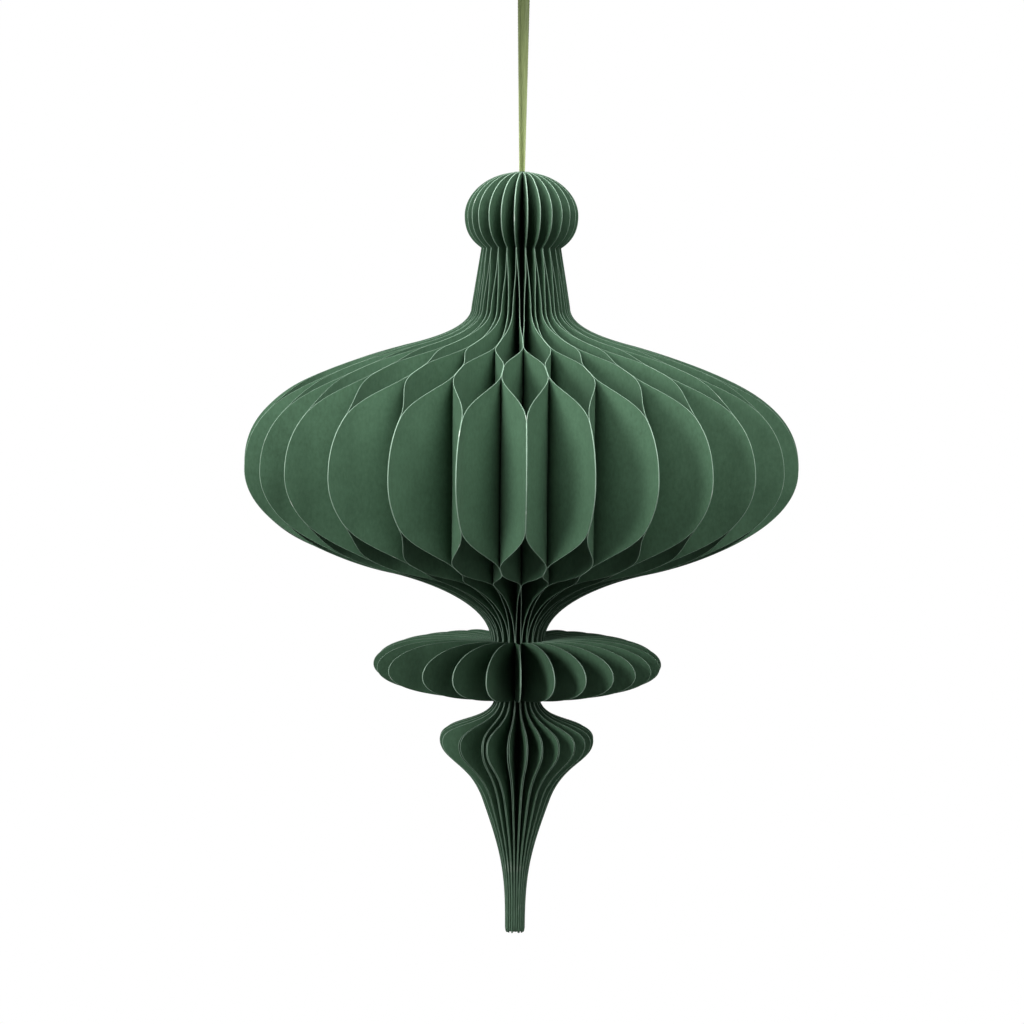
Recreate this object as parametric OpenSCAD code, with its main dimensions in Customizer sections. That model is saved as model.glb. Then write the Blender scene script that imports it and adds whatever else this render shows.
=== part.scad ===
// Honeycomb paper ornament: identical card leaves fanned round an upright spine,
// hung from a loop of narrow ribbon.
// Millimetres, +Z up. The origin is the inside top of the ribbon loop, where it hangs.
// The viewer stands at -Y. Angles round the spine start there and grow towards +X.

/* [Card leaves] */

// How many leaves are fanned round the spine, always an even number
leaf_count = 54; // [40:2:56]
// Thickness of the card
card_thickness = 0.25; // [0.15:0.01:0.28]
// Distance between two neighbouring glue lines, measured out from the spine
glue_pitch = 41; // [37:1:43]
// Width of a glue line
glue_width = 10; // [6:1:12]
// How far the outermost glue line starts inside the rim of the globe
rim_glue_depth = 11.5; // [8:0.5:14]
// Degrees by which the fan is turned so that a glued pair faces the viewer
fan_turn = 1.2; // [-6:0.1:6]
// Degrees by which the leaves crowd together on the right-hand side
fan_crowding = 4; // [0:0.1:4.2]
// Degrees by which single pairs stray from an even fan
fan_stray = 0.3; // [0:0.1:0.3]
// Direction of the seam, where the first and the last leaf of the fan are joined
seam_direction = -93.3; // [-120:0.1:-60]
// Degrees by which the leaves next to the seam are held back
seam_slack = 13.2; // [0:0.1:13.5]

/* [Crown] */

// Largest radius of the rounded crown
crown_radius = 29.9; // [28:0.1:33]
// Height from the top of the crown to its widest place
crown_rise = 22.8; // [20:0.1:25]
// Height from the top of the crown to the notch under it
notch_depth = 39.8; // [38:0.1:44]
// Radius at the notch
notch_radius = 21; // [18:0.1:23]
// Degrees by which the crown is turned against the globe
crown_turn = -2; // [-3:0.1:3]

/* [Neck] */

// Height from the notch to the foot of the neck
neck_height = 30.7; // [26:0.1:38]
// Radius at the foot of the neck
neck_radius = 25.9; // [24:0.1:28]

/* [Globe] */

// Largest radius of the globe
globe_radius = 147.5; // [141:0.5:155]
// Height from the foot of the neck to the widest place of the globe
globe_rise = 84.1; // [76:0.1:96]
// Height from the widest place of the globe to the waist below it
globe_fall = 91.8; // [83:0.1:104]
// Radius at the waist between globe and saucer
waist_radius = 14.4; // [12:0.1:16]

/* [Saucer] */

// Largest radius of the flat saucer
saucer_radius = 76.2; // [68:0.1:84]
// Height from the waist to the rim of the saucer
saucer_rise = 12.9; // [11:0.1:16]
// Height from the rim of the saucer to the throat below it
saucer_fall = 17.7; // [15:0.1:23]
// Degrees by which the fan gapes on the left-hand side of the saucer
saucer_gape = 8; // [0:0.1:9]
// Radius at the throat between saucer and drop
throat_radius = 12; // [11:0.1:14]

/* [Drop] */

// Largest radius of the drop
drop_radius = 40.9; // [37:0.1:46]
// Height from the throat to the widest place of the drop
drop_rise = 22.1; // [18:0.1:27]
// Height from the widest place of the drop to the end of the tip
drop_length = 103.1; // [90:0.1:117]
// Radius of the blunt tip
tip_radius = 5.3; // [5:0.1:7]
// Degrees by which the fan gapes on the left-hand side of the drop
drop_gape = 12; // [0:0.1:13]
// Degrees by which single pairs stray at the widest place of the drop
drop_stray = 2; // [0:0.1:2]
// How closely two pairs left of the front lie together there, 0 for not at all
drop_pinch = 0.85; // [0:0.05:0.85]
// How far the tips of single leaves end above or below each other
tip_slip = 0.8; // [0:0.1:1.5]

/* [Hanging ribbon] */

// Width of the ribbon
ribbon_width = 6.35; // [5:0.05:8]
// Thickness of the ribbon
ribbon_thickness = 0.4; // [0.3:0.05:0.6]
// Width over the folded ribbon where it enters the crown
ribbon_foot_width = 2.9; // [2.6:0.1:4]

/* [Hidden] */

paper_green = "#4f7a56";
binding_green = "#3c5f45";
ribbon_green = "#76795a";

half_card = card_thickness / 2;
leaf_pitch = 360 / leaf_count;

// The inner edges of the leaves stand side by side round the spine, with room to spare
inner_edge = half_card / sin(0.28 * leaf_pitch);

// Middle of the front strand of the ribbon: depth and height above the crown, in mm.
// The rear strand is its mirror image, and the last point is the top of the loop.
strand_route = [
    [-1.1, 0],
    [-1.3, 6],
    [-1.8, 16],
    [-2.5, 30],
    [-3.2, 44],
    [-3.9, 58],
    [-4.6, 72],
    [-5.2, 84],
    [-5.7, 94],
    [-6, 100],
    [-5.2, 103],
    [-3, 105.2],
    [0, 106]
];
loop_height = strand_route[len(strand_route) - 1][1] - ribbon_thickness / 2;

// Heights of the main places below the top of the crown
neck_foot = -notch_depth - neck_height;
globe_rim = neck_foot - globe_rise;
waist = globe_rim - globe_fall;
saucer_rim = waist - saucer_rise;
throat = saucer_rim - saucer_fall;
drop_rim = throat - drop_rise;
tip = drop_rim - drop_length;
tip_corner = 2.5;

// How far a leaf leans to one of its neighbours: 1 lies against the neighbour that it
// is glued to at the rim, 0 against the other one, and an even fan is in the middle
rim_pair = 1;
shoulder_pair = 0.85;
flare_pair = 0.64;
even_fan = 0.5;
tail_pair = 0.12;
drop_pair = 0.08;
crown_pair = 0;

// Degrees from the seam over which its pull fades
seam_reach = 44;

// The lower tiers gape to the left of one direction and pinch two pairs at another one
gape_direction = -46.7;
gape_reach = 100;
pinch_direction = -26.7;

// Curves of the silhouette

function mix(a, b, t) = a + (b - a) * t;

function curve_point(c, t) =
    pow(1 - t, 3) * c[0] + 3 * pow(1 - t, 2) * t * c[1]
    + 3 * (1 - t) * t * t * c[2] + pow(t, 3) * c[3];

// Point at a given radius on a curve that only runs outward or only inward
function at_radius(c, r, low = 0, high = 1, steps = 30) =
    let (t = (low + high) / 2, p = curve_point(c, t))
    steps == 0 ? [r, p[1]]
    : (p[0] < r) == (c[3][0] > c[0][0]) ? at_radius(c, r, t, high, steps - 1)
    : at_radius(c, r, low, t, steps - 1);

// Each slope is a cubic curve, given by its ends and the two points that pull it.
// A pull straight up or down gives the smooth turn at a rim.
crown_over = [
    [0, 0],
    [0.61 * crown_radius, 0],
    [crown_radius, -0.52 * crown_rise],
    [crown_radius, -crown_rise]
];
crown_under = [
    [crown_radius, -crown_rise],
    [crown_radius, -crown_rise - 7.5],
    [notch_radius + 6.3, -notch_depth + 4.3],
    [notch_radius, -notch_depth]
];
shoulder = [0.41 * globe_radius, neck_foot - 0.24 * globe_rise];
shoulder_fillet = [
    [neck_radius, neck_foot],
    [neck_radius, neck_foot - 8.2],
    [shoulder[0] - 23.7, shoulder[1] + 5.7],
    shoulder
];
globe_over = [
    shoulder,
    [0.86 * globe_radius, shoulder[1] - 0.22 * globe_rise],
    [globe_radius, globe_rim + 0.33 * globe_rise],
    [globe_radius, globe_rim]
];
flank = [0.49 * globe_radius, waist + 0.41 * globe_fall];
globe_under = [
    [globe_radius, globe_rim],
    [globe_radius, globe_rim - 0.34 * globe_fall],
    [flank[0] + 18.6, flank[1] + 3.8],
    flank
];
waist_flare = [
    flank,
    [flank[0] - 31.7, flank[1] - 7.9],
    [waist_radius, waist + 16.5],
    [waist_radius, waist]
];
saucer_over = [
    [waist_radius, waist],
    [mix(waist_radius, saucer_radius, 0.59), waist + 0.34 * saucer_rise],
    [saucer_radius, saucer_rim + 0.77 * saucer_rise],
    [saucer_radius, saucer_rim]
];
saucer_under = [
    [saucer_radius, saucer_rim],
    [saucer_radius, saucer_rim - 0.37 * saucer_fall],
    [mix(throat_radius, saucer_radius, 0.81), throat + 0.19 * saucer_fall],
    [throat_radius, throat]
];
drop_over = [
    [throat_radius, throat],
    [throat_radius + 1.3, throat - 0.63 * drop_rise],
    [drop_radius, drop_rim + 0.49 * drop_rise],
    [drop_radius, drop_rim]
];
drop_flank = [0.45 * drop_radius, drop_rim - 0.3 * drop_length];
drop_under = [
    [drop_radius, drop_rim],
    [drop_radius, drop_rim - 10.8],
    [drop_flank[0] + 7.3, drop_flank[1] + 18.6],
    drop_flank
];
tip_taper = [
    drop_flank,
    [drop_flank[0] - 10.6, drop_flank[1] - 29.4],
    [tip_radius, tip + 32.2],
    [tip_radius, tip + tip_corner]
];

// Outline of one leaf

// Upright fold columns of each tier, as [radius, lean]
rim_line = globe_radius - rim_glue_depth;
globe_line = rim_line - glue_pitch;
shoulder_line = globe_line - glue_pitch;
bow = glue_pitch - glue_width;
half_glue = glue_width / 2;

// A leaf swings from one neighbour to the other in a soft S over the bow
globe_columns = [
    [mix(neck_radius, shoulder_line - half_glue, 0.35), shoulder_pair],
    [shoulder_line + half_glue, rim_pair],
    [shoulder_line + half_glue + 0.26 * bow, 0.84],
    [globe_line - half_glue - 0.26 * bow, 0.16],
    [globe_line - half_glue, crown_pair],
    [globe_line + half_glue, crown_pair],
    [globe_line + half_glue + 0.26 * bow, 0.16],
    [rim_line - 0.3 * bow, 0.84],
    [rim_line, rim_pair],
    [globe_radius - 0.32 * rim_glue_depth, rim_pair]
];
crown_columns = [
    [mix(inner_edge, notch_radius, 0.6), crown_pair],
    [notch_radius, crown_pair],
    [mix(notch_radius, crown_radius, 0.64), crown_pair]
];
saucer_columns = [for (share = [0.4, 0.72, 0.92, 0.985]) [share * saucer_radius, rim_pair]];
drop_columns = [for (share = [0.73, 0.92]) [share * drop_radius, drop_pair]];

function backwards(list) = [for (i = [len(list) - 1 : -1 : 0]) list[i]];

// Outline points of the columns on one slope, or on two that follow each other
function on_slope(c, columns) = [for (k = columns) concat(at_radius(c, k[0]), k[1])];
function on_slopes(inner, outer, columns) =
    [for (k = columns) concat(at_radius(k[0] < outer[0][0] ? inner : outer, k[0]), k[1])];

globe_bottom = [for (k = backwards(globe_columns))
    concat(
        at_radius(k[0] > flank[0] ? globe_under : waist_flare, k[0]),
        k[0] < shoulder_line - half_glue ? flare_pair : k[1]
    )];

// The outline runs from the inner edge at the top, out and down, back to the spine.
// Each point is [radius, height, lean].
outline = concat(
    [[inner_edge, 0, even_fan]],
    on_slope(crown_over, crown_columns),
    [[crown_radius, -crown_rise, crown_pair]],
    on_slope(crown_under, [crown_columns[2]]),
    [[notch_radius, -notch_depth, crown_pair]],
    [[neck_radius, neck_foot, 0.6]],
    on_slopes(shoulder_fillet, globe_over, globe_columns),
    [[globe_radius, globe_rim, rim_pair]],
    globe_bottom,
    on_slope(waist_flare, [[neck_radius, flare_pair], [1.4 * waist_radius, even_fan]]),
    [[waist_radius, waist, even_fan]],
    on_slope(saucer_over, saucer_columns),
    [[saucer_radius, saucer_rim, rim_pair]],
    on_slope(saucer_under, backwards(saucer_columns)),
    [[throat_radius, throat, even_fan]],
    on_slope(drop_over, concat([[1.42 * throat_radius, 0.3]], drop_columns)),
    [[drop_radius, drop_rim, drop_pair]],
    on_slope(drop_under, backwards(drop_columns)),
    [for (t = [0.1, 0.42, 0.74, 1]) concat(curve_point(tip_taper, t), tail_pair)],
    [[mix(inner_edge, tip_radius, 0.5), tip, even_fan]],
    [[inner_edge, tip, even_fan]]
);

// Places in the outline where one tier ends and the next begins
crown_top = 1;
crown_rim_point = crown_top + len(crown_columns);
notch_point = crown_rim_point + 2;
neck_point = notch_point + 1;
globe_rim_point = neck_point + len(globe_columns) + 1;
neck_under = globe_rim_point + len(globe_columns) + 1;
waist_point = neck_under + 2;
saucer_rim_point = waist_point + len(saucer_columns) + 1;
throat_point = saucer_rim_point + len(saucer_columns) + 1;
drop_rim_point = throat_point + len(drop_columns) + 2;
taper_point = drop_rim_point + len(drop_columns) + 1;
last_point = len(outline) - 1;

// Triangles between the columns of a tier, from its first one out to its rim
function tier(first, rim) = concat(
    [for (i = [first : rim - 2]) each [
        [i, i + 1, 2 * rim - i],
        [i + 1, 2 * rim - i - 1, 2 * rim - i]
    ]],
    [[rim - 1, rim, rim + 1]]
);

// Triangles from one outline point to each step between the listed ones
function fan(centre, ring) = [for (i = [0 : len(ring) - 2]) [centre, ring[i], ring[i + 1]]];

function run(first, last) = [for (i = [first : last]) i];

// One side of a leaf as triangles of outline points
sheet = concat(
    tier(crown_top + 1, crown_rim_point),
    fan(crown_top, concat([crown_top + 1], run(notch_point, neck_point),
        run(neck_under, waist_point))),
    tier(neck_point, globe_rim_point),
    tier(waist_point, saucer_rim_point),
    tier(throat_point + 2, drop_rim_point),
    fan(throat_point, concat(run(throat_point + 1, throat_point + 2),
        run(taper_point - 1, taper_point + 1))),
    fan(0, concat([crown_top, waist_point, throat_point], run(taper_point + 1, last_point)))
);

// Leaves

// Degrees by which the seam holds back the leaf planes next to it
function held_back(i) =
    let (past_seam = (i * leaf_pitch - seam_direction) % 360)
    max(0, min(0.75 * past_seam, seam_slack * (1 - past_seam / seam_reach)));

// Direction of the upright plane in which leaf i meets the leaf before it
function fold_plane(i) =
    let (
        even = i * leaf_pitch,
        stray = fan_stray * sin(20 * (i % leaf_count) - 10)
    )
    even + fan_turn - fan_crowding * (1 - cos(even)) + held_back(i) - stray;

// Degrees by which a plane makes room for the gap on the left of a lower tier
function gaping(i, most) =
    let (past_gap = (gape_direction - i * leaf_pitch + 720) % 360)
    max(0, min(1.2 * past_gap, most * (1 - past_gap / gape_reach)));

// Degrees by which a plane of the drop moves towards the pinched place
function pinched(i) =
    let (off = (i * leaf_pitch - pinch_direction + 540) % 360 - 180)
    -drop_pinch * off * exp(-pow(off / 12, 4));

// Each tier settles a little by itself, from nothing at the spine to most at its rim,
// because only the globe is held by glue lines near the rim
function settled(i, p) =
    let (
        stray = drop_stray * sin(35 * (i % leaf_count) + 150),
        in_crown = (p[0] - inner_edge) / (notch_radius - inner_edge),
        in_saucer = 1.5 * (p[0] - waist_radius) / (saucer_radius - waist_radius),
        in_drop = (p[0] - throat_radius) / (drop_radius - throat_radius)
    )
    p[1] >= -notch_depth ? crown_turn * min(in_crown, 1)
    : p[1] > waist ? 0
    : p[1] > throat ? -(held_back(i) + gaping(i, saucer_gape)) * min(max(in_saucer, 0), 1)
    : (stray + pinched(i) - held_back(i) - gaping(i, drop_gape)) * max(in_drop, 0);

// Height that leaf i gains or loses towards its tip
function slip(i, p) =
    tip_slip * sin(77 * i) * pow(max(throat - p[1], 0) / (throat - tip), 2);

// Place of an outline point on the left (-1) or right (1) side of leaf i. Glued leaves
// touch in the fold plane, because the middle of the card stays half its thickness off.
function placed(i, p, side) =
    let (
        low = fold_plane(i) + settled(i, p),
        high = fold_plane(i + 1) + settled(i + 1, p),
        share = i % 2 == 0 ? 1 - p[2] : p[2],
        lean = asin(half_card / p[0]),
        along = mix(low + lean, high - lean, share),
        across = mix(low, high, share)
    )
    [
        p[0] * sin(along) + side * half_card * cos(across),
        -p[0] * cos(along) + side * half_card * sin(across),
        p[1] + slip(i, p) - loop_height
    ];

module card_leaf(i) {
    count = len(outline);
    color(paper_green)
        polyhedron(
            points = [for (side = [-1, 1]) for (p = outline) placed(i, p, side)],
            faces = concat(
                sheet,
                [for (f = sheet) [f[2] + count, f[1] + count, f[0] + count]],
                [for (k = [0 : count - 1]) let (next = (k + 1) % count) each [
                    [next, k, k + count],
                    [next, k + count, next + count]
                ]]
            )
        );
}

// Spine

module spine_binding() {
    color(binding_green)
        translate([0, 0, tip - loop_height])
            cylinder(r = inner_edge, h = -tip, $fn = 48);
}

// Ribbon

strand_last = len(strand_route) - 1;
ribbon_route = concat(
    strand_route,
    [for (i = [strand_last - 1 : -1 : 0]) [-strand_route[i][0], strand_route[i][1]]]
);
flat_height = strand_route[8][1];
fold_part = ribbon_width / 3;

// Direction in which the route runs at one of its points
function heading(i) =
    let (
        last = len(ribbon_route) - 1,
        step = ribbon_route[min(i + 1, last)] - ribbon_route[max(i - 1, 0)],
        ends = i == 0 ? [0, 1] : i == last ? [0, -1] : step
    )
    ends / norm(ends);

// The ribbon lies flat over its top and folds lengthwise, away from its other strand,
// towards the crown. Each section has four points along its outer and its inner face.
function ribbon_section(i) =
    let (
        at = ribbon_route[i],
        ahead = heading(i),
        outward = [-ahead[1], ahead[0]],
        rise = min(at[1] / flat_height, 1),
        over = mix(ribbon_foot_width, ribbon_width, rise),
        bend = acos((over - fold_part) / (2 * fold_part)),
        half = ribbon_thickness / 2
    )
    [for (face = [1, -1]) for (k = [-2, -1, 1, 2])
        let (
            edge = abs(k) == 2,
            reach = edge ? over / 2 : fold_part / 2,
            wide = sign(k) * (reach + (edge ? face * half * sin(bend) * -1 : 0)),
            deep = (edge ? fold_part * sin(bend) + face * half * cos(bend) : face * half)
        )
        [
            wide,
            at[0] + deep * outward[0],
            at[1] + deep * outward[1] - loop_height
        ]
    ];

module hanging_ribbon() {
    rings = len(ribbon_route);
    around = [4, 5, 6, 7, 3, 2, 1, 0];
    strips = [for (k = [0 : 7]) [around[k], around[(k + 1) % 8]]];
    end_cap = [[0, 1, 5], [0, 5, 4], [1, 2, 6], [1, 6, 5], [2, 3, 7], [2, 7, 6]];
    top = 8 * (rings - 1);
    color(ribbon_green)
        polyhedron(
            points = [for (i = [0 : rings - 1]) each ribbon_section(i)],
            faces = concat(
                [for (i = [0 : rings - 2]) for (s = strips) each [
                    [8 * i + s[0], 8 * i + s[1], 8 * i + 8 + s[1]],
                    [8 * i + s[0], 8 * i + 8 + s[1], 8 * i + 8 + s[0]]
                ]],
                end_cap,
                [for (f = end_cap) [f[2] + top, f[1] + top, f[0] + top]]
            )
        );
}

// Nodes

function leaf_name(i) = str("leaf_", i < 9 ? "0" : "", i + 1);

for (i = [0 : leaf_count - 1])
    card_leaf(i);

spine_binding();

hanging_ribbon();
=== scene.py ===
"""Dresses the honeycomb paper ornament: card leaves, bound spine and hanging ribbon.

Sizes are real millimetres, turned into metres when a mesh is made. The leaves keep the
form of their solids: the same silhouette, glue lines and fan, with finer curves.
"""

import logging
import math
from dataclasses import dataclass, field
from enum import Enum

import bpy
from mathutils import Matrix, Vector
from mathutils.geometry import delaunay_2d_cdt


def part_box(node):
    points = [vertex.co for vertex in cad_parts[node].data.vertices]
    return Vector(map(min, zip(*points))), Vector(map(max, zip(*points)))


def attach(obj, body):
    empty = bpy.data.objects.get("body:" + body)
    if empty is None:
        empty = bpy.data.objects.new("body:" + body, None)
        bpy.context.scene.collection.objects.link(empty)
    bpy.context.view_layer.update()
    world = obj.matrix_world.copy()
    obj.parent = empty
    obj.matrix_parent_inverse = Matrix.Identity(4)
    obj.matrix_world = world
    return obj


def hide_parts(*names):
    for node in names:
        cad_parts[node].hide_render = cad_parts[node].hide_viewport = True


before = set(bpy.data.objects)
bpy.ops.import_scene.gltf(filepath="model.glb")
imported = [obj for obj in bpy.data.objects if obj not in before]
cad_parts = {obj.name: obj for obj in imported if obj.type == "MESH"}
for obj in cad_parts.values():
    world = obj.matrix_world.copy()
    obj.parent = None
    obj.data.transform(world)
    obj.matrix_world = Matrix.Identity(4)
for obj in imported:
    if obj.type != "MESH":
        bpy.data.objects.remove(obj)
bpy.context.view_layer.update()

MM = 0.001
log = logging.getLogger("ornament")

Colour = tuple[float, float, float]
Point = tuple[float, float]
Feeds = dict[str | int, object]


def linear(red: int, green: int, blue: int) -> Colour:
    """Turn a colour as seen on a screen into the linear values that shaders use.

    Args:
        red: Red from 0 to 255.
        green: Green from 0 to 255.
        blue: Blue from 0 to 255.

    Returns:
        The three linear values from 0 to 1.
    """

    def one(value: int) -> float:
        """Linear value of one channel."""
        share = value / 255
        return share / 12.92 if share <= 0.04045 else ((share + 0.055) / 1.055) ** 2.4

    return one(red), one(green), one(blue)


def mix(start: float, end: float, share: float) -> float:
    """Value at a share of the way from start to end."""
    return start + (end - start) * share


def between_stops(value: float, stops: tuple[Point, ...]) -> float:
    """Value on the straight lines between (place, value) stops that rise in place."""
    for (low, first), (high, second) in zip(stops, stops[1:]):
        if value < high:
            return mix(first, second, max((value - low) / (high - low), 0.0))
    return stops[-1][1]


def soft_step(low: float, high: float, value: float) -> float:
    """Smooth rise from 0 at low to 1 at high."""
    share = min(max((value - low) / (high - low), 0.0), 1.0)
    return share * share * (3 - 2 * share)


class Socket(Enum):
    """Kinds of socket on a node group."""

    NUMBER = "NodeSocketFloat"
    COUNT = "NodeSocketInt"
    COLOUR = "NodeSocketColor"
    VECTOR = "NodeSocketVector"
    MATERIAL = "NodeSocketMaterial"
    GEOMETRY = "NodeSocketGeometry"


class Tree:
    """Short hand for building a node tree: adds nodes, links them and does sums."""

    def __init__(self, tree: bpy.types.NodeTree) -> None:
        """Hold the tree that the nodes go into."""
        self.tree = tree

    @classmethod
    def group(
        cls,
        name: str,
        kind: str,
        inputs: list[tuple[str, Socket, object]],
        outputs: list[tuple[str, Socket]],
    ) -> "Tree":
        """Start a node group with named sockets.

        Args:
            name: Name of the group.
            kind: ShaderNodeTree or GeometryNodeTree.
            inputs: Name, kind and default of each input.
            outputs: Name and kind of each output.

        Returns:
            The group, with its input and output nodes placed.
        """
        made = bpy.data.node_groups.new(name, kind)
        for label, socket, default in inputs:
            put = made.interface.new_socket(label, in_out="INPUT", socket_type=socket.value)
            if default is not None:
                put.default_value = default
        for label, socket in outputs:
            made.interface.new_socket(label, in_out="OUTPUT", socket_type=socket.value)
        tree = cls(made)
        tree.source = tree.add("NodeGroupInput")
        tree.sink = tree.add("NodeGroupOutput")
        return tree

    def feed(self, socket: bpy.types.NodeSocket, value: object) -> None:
        """Link a socket to another one, or set its own value."""
        if isinstance(value, bpy.types.NodeSocket):
            self.tree.links.new(value, socket)
        else:
            socket.default_value = value

    def add(self, kind: str, feeds: Feeds | None = None, **settings: object) -> bpy.types.Node:
        """Add a node, set its plain properties and feed its inputs.

        Args:
            kind: Type of the node.
            feeds: Sockets or values, by the name or number of the input.
            settings: Plain properties, such as an operation.

        Returns:
            The node.
        """
        node = self.tree.nodes.new(kind)
        for key, value in settings.items():
            setattr(node, key, value)
        for key, value in (feeds or {}).items():
            self.feed(node.inputs[key], value)
        return node

    def sum(self, operation: str, *values: object) -> bpy.types.NodeSocket:
        """Add a maths node that works on sockets or numbers."""
        return self.add("ShaderNodeMath", dict(enumerate(values)), operation=operation).outputs[0]

    def plus(self, first: object, second: object) -> bpy.types.NodeSocket:
        """Add two numbers."""
        return self.sum("ADD", first, second)

    def minus(self, first: object, second: object) -> bpy.types.NodeSocket:
        """Take the second number from the first."""
        return self.sum("SUBTRACT", first, second)

    def times(self, first: object, *others: object) -> bpy.types.NodeSocket:
        """Multiply numbers, from the first to the last."""
        for other in others:
            first = self.sum("MULTIPLY", first, other)
        return first

    def over(self, first: object, second: object) -> bpy.types.NodeSocket:
        """Divide the first number by the second."""
        return self.sum("DIVIDE", first, second)

    def vector(self, x: object, y: object = 0.0, z: object = 0.0) -> bpy.types.NodeSocket:
        """Join three numbers into a vector."""
        return self.add("ShaderNodeCombineXYZ", {0: x, 1: y, 2: z}).outputs[0]

    def parts(self, vector: object) -> tuple[bpy.types.NodeSocket, ...]:
        """Split a vector into its three numbers."""
        return tuple(self.add("ShaderNodeSeparateXYZ", {0: vector}).outputs)

    def vectors(self, operation: str, first: object, second: object) -> bpy.types.NodeSocket:
        """Add a maths node that works on two vectors."""
        feeds = {0: first, 1: second}
        return self.add("ShaderNodeVectorMath", feeds, operation=operation).outputs[0]

    def between(self, start: object, end: object, share: object) -> bpy.types.NodeSocket:
        """Blend two numbers by a share."""
        feeds = {"Factor": share, 2: start, 3: end}
        return self.add("ShaderNodeMix", feeds, data_type="FLOAT").outputs[0]

    def tint(self, start: object, end: object, share: object) -> bpy.types.NodeSocket:
        """Blend two colours by a share."""
        return self.add("ShaderNodeMix", {0: share, 6: start, 7: end}, data_type="RGBA").outputs[2]

    def range(self, value: object, low: float, high: float) -> bpy.types.NodeSocket:
        """Stretch a number so that low becomes 0 and high becomes 1."""
        feeds = {"Value": value, "From Min": low, "From Max": high}
        return self.add("ShaderNodeMapRange", feeds).outputs[0]

    def noise(
        self, place: object, scale: object, detail: float = 2.0, roughness: float = 0.5
    ) -> bpy.types.NodeSocket:
        """Make cloudy noise over a place.

        Args:
            place: The place, as a vector.
            scale: How many clouds go into a unit.
            detail: How many finer layers it has.
            roughness: How strong the finer layers are.

        Returns:
            The socket with a number from 0 to 1.
        """
        feeds = {"Vector": place, "Scale": scale, "Detail": detail, "Roughness": roughness}
        return self.add("ShaderNodeTexNoise", feeds).outputs["Fac"]

    def place(self) -> bpy.types.NodeSocket:
        """Give the place on the object that is shaded."""
        return self.add("ShaderNodeTexCoord").outputs["Object"]

    def bump(
        self, shader: bpy.types.Node, height: object, strength: float, distance: float
    ) -> None:
        """Give a shader fine relief.

        Args:
            shader: The shader.
            height: Socket with the height of the relief, from 0 to 1.
            strength: How much of the relief shows.
            distance: Depth of the relief in metres.
        """
        feeds = {"Strength": strength, "Distance": distance, "Height": height}
        relief = self.add("ShaderNodeBump", feeds).outputs["Normal"]
        self.feed(shader.inputs["Normal"], relief)

    def dressed(self, geometry: object, material: object, output: str) -> bpy.types.NodeTree:
        """End a geometry tree with real geometry in its material.

        Args:
            geometry: Socket with the shape.
            material: Socket with the material.
            output: Name of the group's output.

        Returns:
            The finished tree.
        """
        real = self.add("GeometryNodeRealizeInstances", {0: geometry}).outputs[0]
        feeds = {"Geometry": real, "Material": material}
        self.feed(self.sink.inputs[output], self.add("GeometryNodeSetMaterial", feeds).outputs[0])
        return self.tree


def placed(name: str, data: bpy.types.ID) -> bpy.types.Object:
    """Put an object with the given mesh, lamp or camera into the scene."""
    thing = bpy.data.objects.new(name, data)
    bpy.context.scene.collection.objects.link(thing)
    return thing


@dataclass(frozen=True)
class Slope:
    """One cubic curve of the silhouette, as radius and height in millimetres."""

    start: Point
    pull: Point
    push: Point
    end: Point

    def point(self, share: float) -> Point:
        """Point at a share of the curve."""
        rest = 1 - share
        weights = (rest**3, 3 * rest * rest * share, 3 * rest * share * share, share**3)
        ends = (self.start, self.pull, self.push, self.end)
        return (
            sum(w * p[0] for w, p in zip(weights, ends)),
            sum(w * p[1] for w, p in zip(weights, ends)),
        )

    def points(self, steps: int) -> list[Point]:
        """Points along the curve without its first one."""
        return [self.point(i / steps) for i in range(1, steps + 1)]


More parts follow.
